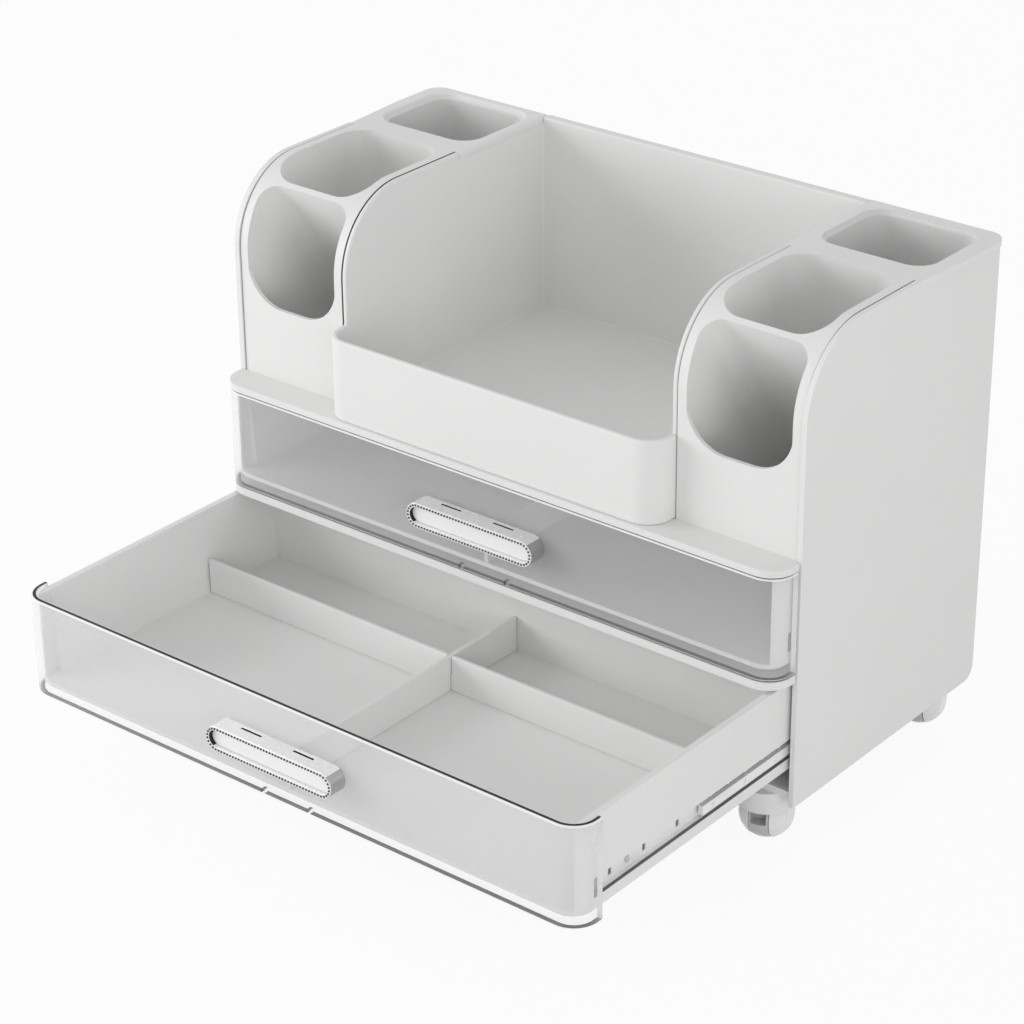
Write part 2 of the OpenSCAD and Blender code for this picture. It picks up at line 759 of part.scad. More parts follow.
module drawer_rail(side) {
    color(steel) on_side(side) translate([box_half - groove_d, rail_y, rail_z + rail_h / 2]) difference() {
        channel();
        for (i = [0 : slot_count - 1])
            translate([-cut, slot_first + i * slot_pitch - slot_w / 2, -slot_h / 2])
                cube([rail_sheet + 2 * cut, slot_w, slot_h]);
        translate([-cut, slot_first + window_slot * slot_pitch + slot_pitch / 2 - window_l / 2, -slot_h / 2])
            cube([rail_sheet + 2 * cut, window_l, slot_h]);
    }
}

module middle_rail(side, z, open) {
    pocket_d = 0.25 * middle_rail_t;
    color(steel) at_slide(side, z, open / 2) difference() {
        translate([bar_x, 0, -bar_h / 2]) cube([middle_rail_t, rail_l, bar_h]);
        for (i = [0 : slot_count - 1])
            translate([bar_x - cut, slot_first + i * slot_pitch - slot_w / 2, -bar_h / 4])
                cube([pocket_d + cut, slot_w, bar_h / 2]);
    }
}

// Balls between two rails: along x, the cabinet's rows are at ball_x and the drawer's mirror them.
module slide_balls(z, open, share, x) {
    row = (ball_count - 1) * ball_pitch;
    color(steel) for (side = ["left", "right"], up = [-1, 1], i = [0 : ball_count - 1])
        at_slide(side, z, open * share) translate([x, (rail_l - row) / 2 + i * ball_pitch, up * ball_z])
            sphere(d = ball_d);
}

module rail_screw() {
    rotate([0, 90, 0]) {
        translate([0, 0, -rail_screw_l]) cylinder(d = rail_screw_d, h = rail_screw_l);
        cylinder(d = rail_head_d, h = rail_head_h);
    }
}

module cabinet_rail_screws() {
    color(steel) for (side = ["left", "right"], z = [lower_z, upper_z], at = rail_screw_at)
        at_slide(side, z, 0) translate([rail_sheet, at, 0]) rail_screw();
}

module drawer_rail_screws() {
    color(steel) for (side = ["left", "right"], at = rail_screw_at)
        on_side(side)
            translate([box_half - groove_d + rail_sheet, rail_y + at, rail_z + rail_h / 2]) rail_screw();
}

// Casters, drawn about the swivel axis with the axle along x and the wheels trailing towards +y

module caster_cup(x, y) {
    color(plastic) translate([x, y, cup_z]) difference() {
        cylinder(d = cup_d, h = cup_h);
        translate([0, 0, -cut]) cylinder(d = cup_d - 2 * cup_wall, h = cup_h - cup_top + cut);
        cylinder(d = stem_d + 2 * run_gap, h = cup_h + cut);
    }
}

module caster_fork(x, y) {
    body_r = roller_r - fork_gap;
    lift = 4 * fork_gap;
    window_w = 0.8 * fork_w;
    window_h = 0.62 * body_r;
    color(plastic) translate([x, y, 0]) rotate([0, 0, caster_yaw]) {
        translate([0, 0, neck_z - cut]) cylinder(d = stem_d, h = stem_top_z - neck_z + 2 * cut);
        translate([0, 0, stem_top_z]) cylinder(d = 1.6 * stem_d, h = 1.2);
        difference() {
            union() {
                intersection() {
                    translate([0, trail, axle_z]) sphere(body_r);
                    translate([-fork_w / 2, -cup_d, lift]) cube([fork_w, 2 * cup_d, neck_z]);
                }
                intersection() {
                    translate([0, 0, axle_z]) cylinder(r = 0.6 * body_r, h = neck_z - axle_z);
                    translate([-fork_w / 2, -cup_d / 2, 0]) cube([fork_w, cup_d, neck_z]);
                }
            }
            translate([-fork_w / 2 - cut, trail, axle_z]) rotate([0, 90, 0])
                cylinder(d = axle_d + 2 * run_gap, h = fork_w + 2 * cut);
            translate([-window_w / 2, trail - body_r - cut, axle_z - 0.1 * body_r])
                cube([window_w, 0.55 * body_r, window_h]);
        }
    }
}

module caster_wheels(x, y) {
    color(plastic) translate([x, y, 0]) rotate([0, 0, caster_yaw]) translate([0, trail, axle_z]) {
        for (turn = [-90, 90]) rotate([0, turn, 0]) rotate_extrude() intersection() {
            circle(roller_r);
            translate([0, wheel_inner]) square([roller_d, wheel_w / 2 - wheel_inner]);
        }
        translate([-wheel_inner - cut, 0, 0]) rotate([0, 90, 0])
            cylinder(d = axle_d, h = 2 * (wheel_inner + cut));
    }
}

left_side_panel();
right_side_panel();
back_panel();
base_panel();
middle_shelf();
top_shelf();
centre_tray();
left_brush_tower();
right_brush_tower();
back_screws();
cabinet_rail("left", upper_z);  // upper_left_cabinet_rail
cabinet_rail("right", upper_z);  // upper_right_cabinet_rail
cabinet_rail("left", lower_z);  // lower_left_cabinet_rail
cabinet_rail("right", lower_z);  // lower_right_cabinet_rail
cabinet_rail_screws();
caster_cup(-caster_x, caster_front_y);  // front_left_caster_cup
caster_cup(caster_x, caster_front_y);  // front_right_caster_cup
caster_cup(-caster_x, caster_rear_y);  // rear_left_caster_cup
caster_cup(caster_x, caster_rear_y);  // rear_right_caster_cup
at_upper() drawer_box();  // upper_drawer_box
at_upper() clear_front();  // upper_clear_front
at_upper() cross_divider();  // upper_cross_divider
at_upper() long_divider();  // upper_long_divider
at_upper() handle_frame();  // upper_handle_frame
at_upper() handle_plate();  // upper_handle_plate
at_upper() handle_stones();  // upper_handle_stones
at_upper() handle_screws();  // upper_handle_screws
at_upper() drawer_rail("left");  // upper_left_drawer_rail
at_upper() drawer_rail("right");  // upper_right_drawer_rail
at_upper() drawer_rail_screws();  // upper_drawer_rail_screws
at_lower() drawer_box();  // lower_drawer_box
at_lower() clear_front();  // lower_clear_front
at_lower() cross_divider();  // lower_cross_divider
at_lower() long_divider();  // lower_long_divider
at_lower() handle_frame();  // lower_handle_frame
at_lower() handle_plate();  // lower_handle_plate
at_lower() handle_stones();  // lower_handle_stones
at_lower() handle_screws();  // lower_handle_screws
at_lower() drawer_rail("left");  // lower_left_drawer_rail
at_lower() drawer_rail("right");  // lower_right_drawer_rail
at_lower() drawer_rail_screws();  // lower_drawer_rail_screws
middle_rail("left", upper_z, 0);  // upper_left_middle_rail
middle_rail("right", upper_z, 0);  // upper_right_middle_rail
middle_rail("left", lower_z, lower_open);  // lower_left_middle_rail
middle_rail("right", lower_z, lower_open);  // lower_right_middle_rail
slide_balls(upper_z, 0, 0.25, ball_x);  // upper_cabinet_balls
slide_balls(upper_z, 0, 0.75, slide_t - ball_x);  // upper_drawer_balls
slide_balls(lower_z, lower_open, 0.25, ball_x);  // lower_cabinet_balls
slide_balls(lower_z, lower_open, 0.75, slide_t - ball_x);  // lower_drawer_balls
caster_fork(-caster_x, caster_front_y);  // front_left_caster_fork
caster_fork(caster_x, caster_front_y);  // front_right_caster_fork
caster_fork(-caster_x, caster_rear_y);  // rear_left_caster_fork
caster_fork(caster_x, caster_rear_y);  // rear_right_caster_fork
caster_wheels(-caster_x, caster_front_y);  // front_left_caster_wheels
caster_wheels(caster_x, caster_front_y);  // front_right_caster_wheels
caster_wheels(-caster_x, caster_rear_y);  // rear_left_caster_wheels
caster_wheels(caster_x, caster_rear_y);  // rear_right_caster_wheels
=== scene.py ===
"""Looks of the makeup organizer: moulded white plastic, clear drawer fronts, plated handles and slides.

Every length is in metres, in the frame of the solids. A piece here is either a copy of a solid with its
edges rounded, or a surface worked out with numpy. It rides on the body of the solid that it stands for.
"""

import json
import math

import bmesh
import bpy
import numpy as np
from mathutils import Matrix, Vector

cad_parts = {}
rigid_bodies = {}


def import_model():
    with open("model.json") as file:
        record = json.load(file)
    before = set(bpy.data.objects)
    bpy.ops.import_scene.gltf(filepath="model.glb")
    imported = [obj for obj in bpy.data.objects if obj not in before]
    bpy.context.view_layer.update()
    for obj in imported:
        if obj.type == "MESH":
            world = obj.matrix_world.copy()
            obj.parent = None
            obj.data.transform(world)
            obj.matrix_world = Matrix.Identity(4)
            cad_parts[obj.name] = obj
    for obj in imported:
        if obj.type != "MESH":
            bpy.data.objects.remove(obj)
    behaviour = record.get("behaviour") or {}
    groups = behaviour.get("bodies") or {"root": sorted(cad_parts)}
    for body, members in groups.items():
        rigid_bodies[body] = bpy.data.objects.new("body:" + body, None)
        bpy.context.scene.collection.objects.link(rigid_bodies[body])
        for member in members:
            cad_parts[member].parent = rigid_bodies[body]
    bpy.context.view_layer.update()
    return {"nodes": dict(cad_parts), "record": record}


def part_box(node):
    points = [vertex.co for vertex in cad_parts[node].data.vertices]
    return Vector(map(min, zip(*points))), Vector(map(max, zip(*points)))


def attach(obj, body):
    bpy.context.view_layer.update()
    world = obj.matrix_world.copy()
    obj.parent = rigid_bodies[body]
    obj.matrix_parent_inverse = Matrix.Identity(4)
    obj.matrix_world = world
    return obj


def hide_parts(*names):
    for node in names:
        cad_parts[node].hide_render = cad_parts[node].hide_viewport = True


MM = 0.001
# Two places that are closer than this are one
TOUCH = 0.05 * MM
# Edges sharper than this, in degrees, break the smooth shading
CREASE = 32.0
# Most of a noise lies between these
NOISE_LOW, NOISE_HIGH = 0.3, 0.7

# Sizes of the solids: the curve of the towers' fronts, how far their rear wells reach from the back, the thin
# front ends of a drawer box, and the thickness and outer corner of a clear front
ARCH_RADIUS = 44 * MM
REAR_WELL_REACH = 62 * MM
BOX_FRONT_END = 13 * MM
ACRYLIC_THICKNESS = 3 * MM
ACRYLIC_CORNER = 14 * MM

# Middle of a handle's rim from its outer edge, its stones, and the bed under them
RIM_INSET = 1.2 * MM
STONE_RADIUS = 0.6 * MM
STONE_PITCH = 1.9 * MM
BED_WIDTH = 1.8 * MM
BED_THICKNESS = 0.1 * MM
BED_STEPS = 160

# Half the floor's width, and where the lamps point
FLOOR_HALF = 4.0
LAMP_TARGET = (0.0, 0.0, 0.15)

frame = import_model()
nodes = frame["nodes"]
body_of_node = {n: b for b, names in frame["record"]["behaviour"]["bodies"].items() for n in names}
slot_of_node = {s["node"]: s["material_slot"] for s in frame["record"]["subparts"]}


# Finishes

def new_finish(name):
    """A material that is only a Principled shader so far, with its node tree and that shader."""
    material = bpy.data.materials.new(name)
    material.use_nodes = True
    tree = material.node_tree
    tree.nodes.clear()
    shader = tree.nodes.new("ShaderNodeBsdfPrincipled")
    out = tree.nodes.new("ShaderNodeOutputMaterial")
    tree.links.new(shader.outputs["BSDF"], out.inputs["Surface"])
    return material, tree, shader


def place_noise(tree, scale, detail=2.0, stretch=(1.0, 1.0, 1.0)):
    """Noise on the piece's own coordinates, stretched along the axes."""
    coords = tree.nodes.new("ShaderNodeTexCoord")
    mapping = tree.nodes.new("ShaderNodeMapping")
    mapping.inputs["Scale"].default_value = stretch
    noise = tree.nodes.new("ShaderNodeTexNoise")
    noise.inputs["Scale"].default_value = scale
    noise.inputs["Detail"].default_value = detail
    tree.links.new(coords.outputs["Object"], mapping.inputs["Vector"])
    tree.links.new(mapping.outputs["Vector"], noise.inputs["Vector"])
    return noise.outputs["Fac"]


def between(tree, factor, low, high):
    """A number that runs from low to high with the factor."""
    node = tree.nodes.new("ShaderNodeMapRange")
    node.inputs["From Min"].default_value = NOISE_LOW
    node.inputs["From Max"].default_value = NOISE_HIGH
    node.inputs["To Min"].default_value = low
    node.inputs["To Max"].default_value = high
    tree.links.new(factor, node.inputs["Value"])
    return node.outputs["Result"]


def tint(tree, factor, low, high):
    """A colour that runs from low to high with the factor."""
    ramp = tree.nodes.new("ShaderNodeValToRGB")
    ramp.color_ramp.elements[0].position = NOISE_LOW
    ramp.color_ramp.elements[1].position = NOISE_HIGH
    ramp.color_ramp.elements[0].color = (*low, 1.0)
    ramp.color_ramp.elements[1].color = (*high, 1.0)
    tree.links.new(factor, ramp.inputs["Fac"])
    return ramp.outputs["Color"]


def grain(tree, shader, scale, strength, distance, stretch=(1.0, 1.0, 1.0)):
    """Fine surface relief from noise."""
    bump = tree.nodes.new("ShaderNodeBump")
    bump.inputs["Strength"].default_value = strength
    bump.inputs["Distance"].default_value = distance
    tree.links.new(place_noise(tree, scale, 3.0, stretch), bump.inputs["Height"])
    tree.links.new(bump.outputs["Normal"], shader.inputs["Normal"])


def moulded_plastic(name, low, high, rough=(0.42, 0.5), relief=0.05):
    """Satin moulded plastic: a slow drift of tone and sheen, and a fine moulded grain."""
    material, tree, shader = new_finish(name)
    tree.links.new(tint(tree, place_noise(tree, 9.0), low, high), shader.inputs["Base Color"])
    tree.links.new(between(tree, place_noise(tree, 60.0), *rough), shader.inputs["Roughness"])
    shader.inputs["Specular IOR Level"].default_value = 0.3
    grain(tree, shader, 1500.0, relief, 0.2 * MM)
    return material


def clear_acrylic():
    """Clear acrylic: see-through face on, with a faint veil that grows as the view grows flatter."""
    material, tree, shader = new_finish("clear acrylic")
    tree.links.new(tint(tree, place_noise(tree, 12.0), (0.93, 0.935, 0.94), (0.96, 0.965, 0.97)),
                   shader.inputs["Base Color"])
    tree.links.new(between(tree, place_noise(tree, 40.0), 0.03, 0.07), shader.inputs["Roughness"])
    shader.inputs["IOR"].default_value = 1.49
    flat = tree.nodes.new("ShaderNodeLayerWeight")
    flat.inputs["Blend"].default_value = 0.5
    veil = tree.nodes.new("ShaderNodeMapRange")
    veil.interpolation_type = "SMOOTHSTEP"
    veil.inputs["From Min"].default_value = 0.3
    veil.inputs["From Max"].default_value = 1.0
    veil.inputs["To Min"].default_value = 0.19
    veil.inputs["To Max"].default_value = 0.6
    tree.links.new(flat.outputs["Facing"], veil.inputs["Value"])
    tree.links.new(veil.outputs["Result"], shader.inputs["Alpha"])
    return material


def painted_edge_line(name, low, high):
    """A painted line on a polished acrylic edge: dark for painted shade where refraction and gaps darken it,
    bright for a painted highlight.
    """
    material, tree, shader = new_finish(name)
    tree.links.new(tint(tree, place_noise(tree, 60.0), low, high), shader.inputs["Base Color"])
    shader.inputs["Roughness"].default_value = 0.3
    shader.inputs["Specular IOR Level"].default_value = 0.2
    return material


def plated_metal(name, low, high, rough, stretch=(1.0, 1.0, 1.0), scale=200.0, relief=0.02, metallic=1.0):
    """Bright plated metal: a slow drift of tone, a finer one of sheen, and fine relief along the stretch."""
    material, tree, shader = new_finish(name)
    shader.inputs["Metallic"].default_value = metallic
    tree.links.new(tint(tree, place_noise(tree, 40.0), low, high), shader.inputs["Base Color"])
    tree.links.new(between(tree, place_noise(tree, scale, 3.0, stretch), *rough), shader.inputs["Roughness"])
    if relief:
        grain(tree, shader, scale, relief, 0.1 * MM, stretch)
    return material


def cut_crystal():
    """Cut stones: dark to look into, with bright glints, and slightly uneven from stone to stone."""
    material, tree, shader = new_finish("cut crystal")
    tree.links.new(tint(tree, place_noise(tree, 700.0), (0.01, 0.01, 0.012), (0.05, 0.05, 0.055)),
                   shader.inputs["Base Color"])
    shader.inputs["Roughness"].default_value = 0.06
    shader.inputs["IOR"].default_value = 1.5
    return material


# The record's material slots come under their own names, and the second finishes under names with a space
finishes = {
    "white_plastic": moulded_plastic("white moulded plastic", (0.795, 0.795, 0.79), (0.815, 0.815, 0.81)),
    "clear_acrylic": clear_acrylic(),
    # painted shade and painted highlight: opaque dark and white lines on the clear fronts' edges; the dark
    # one also shades the handles' recesses
    "painted shade line": painted_edge_line("acrylic edge painted shade", (0.012, 0.012, 0.014), (0.03, 0.03, 0.034)),
    "painted highlight line": painted_edge_line("acrylic edge painted highlight", (0.9, 0.9, 0.9), (0.94, 0.94, 0.94)),
    "handle_chrome": plated_metal("handle silver", (0.86, 0.86, 0.86), (0.9, 0.9, 0.9), (0.2, 0.3),
                                  relief=0.0, metallic=0.3),
    # painted shade: a darker copy of the handle silver, for the handle's sideways round ends
    "handle painted end shade": plated_metal("handle silver painted shade", (0.4, 0.4, 0.4), (0.48, 0.48, 0.48), (0.15, 0.25),
                               relief=0.0, metallic=0.6),
    "handle_face": moulded_plastic("handle face", (0.86, 0.86, 0.86), (0.9, 0.9, 0.9), (0.12, 0.2),
                                   relief=0.01),
    "crystal": cut_crystal(),
    "rail_steel": plated_metal("rail steel", (0.8, 0.8, 0.81), (0.86, 0.86, 0.87), (0.35, 0.45),
                               stretch=(1.0, 0.05, 1.0), scale=900.0, relief=0.05, metallic=0.35),
    "ball_steel": plated_metal("ball steel", (0.7, 0.71, 0.72), (0.78, 0.78, 0.79), (0.08, 0.14)),
    "screw_steel": plated_metal("screw steel", (0.5, 0.51, 0.52), (0.6, 0.6, 0.61), (0.25, 0.35)),
    "caster_white": moulded_plastic("caster ball", (0.84, 0.84, 0.85), (0.88, 0.88, 0.89), (0.12, 0.2)),
    "caster_grey": moulded_plastic("caster fork", (0.52, 0.52, 0.53), (0.58, 0.58, 0.59), (0.12, 0.2)),
    # painted shade: a dark copy of the white plastic, put on faces in seams and grooves where shade falls
    "painted recess shade": moulded_plastic("painted recess shade", (0.12, 0.12, 0.125), (0.18, 0.18, 0.185)),
    "stone bed": moulded_plastic("stone bed", (0.84, 0.84, 0.84), (0.9, 0.9, 0.9), (0.2, 0.3)),
}


# Pieces from the solids

def piece_name(node, kind="piece"):
    """Name of a piece made after a solid."""
    return node.replace("_", "-") + "-" + kind


def smooth_by_angle(obj):
    """Smooth shading, broken at the sharp edges."""
    obj.data.polygons.foreach_set("use_smooth", np.ones(len(obj.data.polygons), dtype=bool))
    obj.data.set_sharp_from_angle(angle=math.radians(CREASE))


def vertex_places(mesh):
    """Places of a mesh's vertices."""
    places = np.empty(3 * len(mesh.vertices))
    mesh.vertices.foreach_get("co", places)
    return places.reshape(-1, 3)


def edge_sizes(obj, sizes):
    """Stores each sharp edge's rounding in mm as a share of the largest, and returns the largest."""
    mesh = obj.data
    ends = np.empty(2 * len(mesh.edges), dtype=np.int64)
    mesh.edges.foreach_get("vertices", ends)
    middle = vertex_places(mesh)[ends.reshape(-1, 2)].mean(axis=1)
    sharp = np.zeros(len(mesh.edges), dtype=bool)
    mesh.attributes["sharp_edge"].data.foreach_get("value", sharp)
    size = np.where(sharp, sizes(middle), 0.0)
    weights = mesh.attributes.new("bevel_weight_edge", "FLOAT", "EDGE")
    weights.data.foreach_set("value", (size / size.max()).astype(np.float32))
    return float(size.max())


def face_places(obj):
    """Middles and normals of an object's faces."""
    count = len(obj.data.polygons)
    centre, normal = np.empty(3 * count), np.empty(3 * count)
    obj.data.polygons.foreach_get("center", centre)
    obj.data.polygons.foreach_get("normal", normal)
    return centre.reshape(-1, 3), normal.reshape(-1, 3)


def joined_faces(node):
    """A solid's mesh for further work, with its flat faces joined."""
    work = bmesh.new()
    work.from_mesh(nodes[node].data)
    weld, flat = 0.002 * MM, math.radians(0.3)
    bmesh.ops.remove_doubles(work, verts=work.verts, dist=weld)
    bmesh.ops.dissolve_limit(work, angle_limit=flat, verts=work.verts, edges=work.edges)
    return work


def piece_of(node, work):
    """A new object from a mesh worked on from a solid."""
    mesh = bpy.data.meshes.new(piece_name(node))
    work.to_mesh(mesh)
    work.free()
    obj = bpy.data.objects.new(piece_name(node), mesh)
    bpy.context.scene.collection.objects.link(obj)
    return obj


def settle(obj):
    """Puts an object's modifiers into its mesh."""
    finished = obj.evaluated_get(bpy.context.evaluated_depsgraph_get())
    obj.data = bpy.data.meshes.new_from_object(finished)
    obj.modifiers.clear()


def face_corners(mesh):
    """Vertex of each face corner, first corner of each face, and corners of each face."""
    vertex = np.empty(len(mesh.loops), dtype=np.int32)
    mesh.loops.foreach_get("vertex_index", vertex)
    start = np.empty(len(mesh.polygons), dtype=np.int32)
    mesh.polygons.foreach_get("loop_start", start)
    return vertex, start, np.diff(np.append(start, len(vertex)))


def meeting_normals(obj):
    """Normal at each face corner: the mean, weighed by area, of the faces that meet there smoothly."""
    vertex, start, length = face_corners(obj.data)
    normal = face_places(obj)[1]
    area = np.empty(len(start))
    obj.data.polygons.foreach_get("area", area)
    face = np.repeat(np.arange(len(start)), length)
    order = np.argsort(vertex, kind="stable")
    count = np.bincount(vertex)
    first = np.cumsum(count) - count
    partners = count[vertex]
    begin = np.cumsum(partners) - partners
    mine = np.repeat(np.arange(len(vertex)), partners)
    other = order[first[vertex[mine]] + np.arange(len(mine)) - np.repeat(begin, partners)]
    near = (normal[face[mine]] * normal[face[other]]).sum(axis=1) > math.cos(math.radians(CREASE))
    mean = np.add.reduceat(normal[face[other]] * (near * area[face[other]])[:, None], begin)
    return mean / np.maximum(np.linalg.norm(mean, axis=1), 1e-12)[:, None]


def shade_curved_front(obj, node):
    """Shading of a tower, whose curved front's normals point straight out from the axis of its curve."""
    low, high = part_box(node)
    mesh = obj.data
    out = vertex_places(mesh) - (0.0, low[1] + ARCH_RADIUS, high[2] - ARCH_RADIUS)
    out[:, 0] = 0.0
    reach = np.linalg.norm(out, axis=1)
    on_curve = (np.abs(reach - ARCH_RADIUS) < TOUCH) & (out[:, 1] < TOUCH) & (out[:, 2] > -TOUCH)
    out /= np.maximum(reach, MM)[:, None]
    vertex, start, length = face_corners(mesh)
    facing = (face_places(obj)[1] * np.add.reduceat(out[vertex], start) / length[:, None]).sum(axis=1)
    outward = 0.6
    curved = np.logical_and.reduceat(on_curve[vertex], start) & (facing > outward)
    chosen = np.repeat(curved, length)
    normal = meeting_normals(obj)
    normal[chosen] = out[vertex[chosen]]
    mesh.normals_split_custom_set(normal.tolist())


def shade_box(obj, node):
    """Shading of a drawer box, smooth round its corners."""
    obj.data.normals_split_custom_set(meeting_normals(obj).tolist())


def rounded_copy(node, edge=None, segments=3, sizes=None, shading=None):
    """A copy of a solid with joined flat faces and rounded edges.

    The roundings are all of edge mm, or of the mm that sizes gives for the edges' middles. shading, if given,
    sets the normals of the finished mesh.
    """
    obj = piece_of(node, joined_faces(node))
    smooth_by_angle(obj)
    bevel = obj.modifiers.new("edges", "BEVEL")
    bevel.width = (edge_sizes(obj, sizes) if sizes else edge) * MM
    bevel.segments = segments
    bevel.limit_method = "WEIGHT" if sizes else "ANGLE"
    bevel.angle_limit = math.radians(CREASE)
    bevel.use_clamp_overlap = True
    bevel.loop_slide = False
    if shading:
        settle(obj)
        shading(obj, node)
    else:
        normals = obj.modifiers.new("normals", "WEIGHTED_NORMAL")
        normals.keep_sharp = True
    dress(obj, node)


def dress(obj, node):
    """Gives a piece its solid's finish and body, and lets it stand for the solid."""
    slot = slot_of_node[node]
    obj.data.materials.clear()
    obj.data.materials.append(finishes[slot])
    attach(obj, body_of_node[node])
    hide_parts(node)


def tower_edges(node):
    """Roundings of a brush tower in mm.

    Its outer rim has a full round, and its rear well a soft shoulder and a fine ledge. The other edges stay
    crisp.
    """
    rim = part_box(node)[1]
    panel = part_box("right_side_panel")[1]
    rim_height, ledge_depth = 5 * MM, 3 * MM
    full_round, soft_shoulder, fine_ledge = 1.7, 1.5, 0.35

    def sizes(middle):
        x, y, z = np.abs(middle[:, 0]), middle[:, 1], middle[:, 2]
        outer = (z > rim[2] - rim_height) & ((x > panel[0] - TOUCH) | (y > panel[1] - TOUCH))
        rear = y > panel[1] - REAR_WELL_REACH
        shoulder = rear & (z > rim[2] - 2 * TOUCH)
        ledge = rear & (z > rim[2] - ledge_depth)
        return np.select([outer, shoulder, ledge], [full_round, soft_shoulder, fine_ledge], 0.0)

    return sizes


def box_edges(node):
    """Roundings of a drawer box in mm. Its thin front ends behind the clear front's corners stay crisp."""
    front_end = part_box(node)[0][1] + BOX_FRONT_END
    crisp, soft = 0.0, 0.7

    def sizes(middle):
        return np.where(middle[:, 1] < front_end, crisp, soft)

    return sizes


def outline_depth(node, points):
    """Distance inwards from a clear front's outer outline: a round-cornered U around the drawer.

    With u and v the distances past the corner's centre to the side and ahead, it is the corner's radius less
    hypot(max(u, 0), max(v, 0)) + min(max(u, v), 0).
    """
    low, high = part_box(node)
    u = np.abs(points[:, 0]) - (high[0] - ACRYLIC_CORNER)
    v = low[1] + ACRYLIC_CORNER - points[:, 1]
    return ACRYLIC_CORNER - np.hypot(np.maximum(u, 0), np.maximum(v, 0)) - np.minimum(np.maximum(u, v), 0)


# slots of a clear front: see-through, painted shade, painted highlight
SEE_THROUGH, PAINTED_SHADE, PAINTED_HIGHLIGHT = range(3)
# Painted lines on the polished edges of a clear front: upper or lower, inner or outer, the line's width in
# mm, and its finish, painted shade or painted highlight
ACRYLIC_LINES = ((True, True, 0.5, PAINTED_HIGHLIGHT), (True, False, 0.8, PAINTED_HIGHLIGHT), (False, True, 0.3, PAINTED_SHADE),
                 (False, False, 0.6, PAINTED_HIGHLIGHT))


def clear_front(node):
    """A clear front with painted lines on its cut edges: painted shade on top and below, standing for
    refraction and the gaps there, with painted highlights beside them.
    """
    low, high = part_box(node)
    work = joined_faces(node)
    inner_reach, outer_reach, square_on = 0.5 * MM, 0.3 * MM, 0.9
    for upper, inner, width, finish in ACRYLIC_LINES:
        middle = np.array([[*(e.verts[0].co + e.verts[1].co)] for e in work.edges]) / 2
        bend = np.array([e.calc_face_angle(0.0) for e in work.edges])
        depth = outline_depth(node, middle)
        level = np.abs(middle[:, 2] - (high[2] if upper else low[2])) < TOUCH
        side = np.abs(depth - ACRYLIC_THICKNESS) < inner_reach if inner else depth < outer_reach
        lined = level & side & (bend > math.radians(CREASE))
        bmesh.ops.bevel(work, geom=[e for e, on in zip(list(work.edges), lined) if on], offset=width * MM,
                        offset_type="OFFSET", segments=2, profile=0.5, affect="EDGES", clamp_overlap=True,
                        loop_slide=False, material=finish)
    slots = np.array([f.material_index for f in work.faces], dtype=np.int32)
    obj = piece_of(node, work)
    smooth_by_angle(obj)
    dress(obj, node)
    obj.data.materials.append(finishes["painted shade line"])
    obj.data.materials.append(finishes["painted highlight line"])
    centre, normal = face_places(obj)
    # painted shade on the top and bottom faces, and a painted highlight on the ends of the returns
    plain = slots == SEE_THROUGH
    slots[plain & (np.abs(normal[:, 2]) > square_on)] = PAINTED_SHADE
    slots[plain & (normal[:, 1] > square_on) & (centre[:, 1] > high[1] - 2 * TOUCH)] = PAINTED_HIGHLIGHT
    obj.data.polygons.foreach_set("material_index", slots)


# Roundings of the other pieces' edges in mm
EDGES = {
    "side_panel": 0.8, "back_panel": 0.4, "base_panel": 0.5, "shelf": 1.2, "tray": 0.9, "divider": 0.5,
    "handle_frame": 0.5, "handle_plate": 0.3, "rail": 0.15, "cup": 0.6, "fork": 0.4, "wheels": 0.3,
}
for node in sorted(nodes):
    kind = next((k for k in EDGES if k in node and "screws" not in node), None)
    if "brush_tower" in node:
        rounded_copy(node, segments=4, sizes=tower_edges(node), shading=shade_curved_front)
    elif "drawer_box" in node:
        rounded_copy(node, sizes=box_edges(node), shading=shade_box)
    elif "clear_front" in node:
        clear_front(node)
    elif kind:
        rounded_copy(node, EDGES[kind])
    elif "handle_stones" not in node:
        nodes[node].data.materials.clear()
        nodes[node].data.materials.append(finishes[slot_of_node[node]])


# Second finishes: painted shade in seams, grooves and the handles' recesses, and on the handles' round ends

def second_finish(node, finish, chosen):
    """Gives some faces of a solid's piece another finish, here always painted shade. chosen tells them by
    their middles and normals.
    """
    obj = bpy.data.objects[piece_name(node)]
    obj.data.materials.append(finishes[finish])
    slots = np.empty(len(obj.data.polygons), dtype=np.int32)
    obj.data.polygons.foreach_get("material_index", slots)
    slots[chosen(*face_places(obj))] = len(obj.data.materials) - 1
    obj.data.polygons.foreach_set("material_index", slots)


def seam_painted_shade(node):
    """Painted shade: dark faces of a tower in its seams with the tray and the side panel, where shade falls.
    """
    tray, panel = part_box("centre_tray")[1][0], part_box("right_side_panel")[0][0]
    seam, sideways = 1 * MM, 0.95

    def chosen(centre, normal):
        side = np.abs(centre[:, 0])
        at_tray = (side > tray) & (side < tray + seam)
        at_panel = (side > panel - seam) & (side < panel)
        return (np.abs(normal[:, 0]) > sideways) & (at_tray | at_panel)

    second_finish(node, "painted recess shade", chosen)


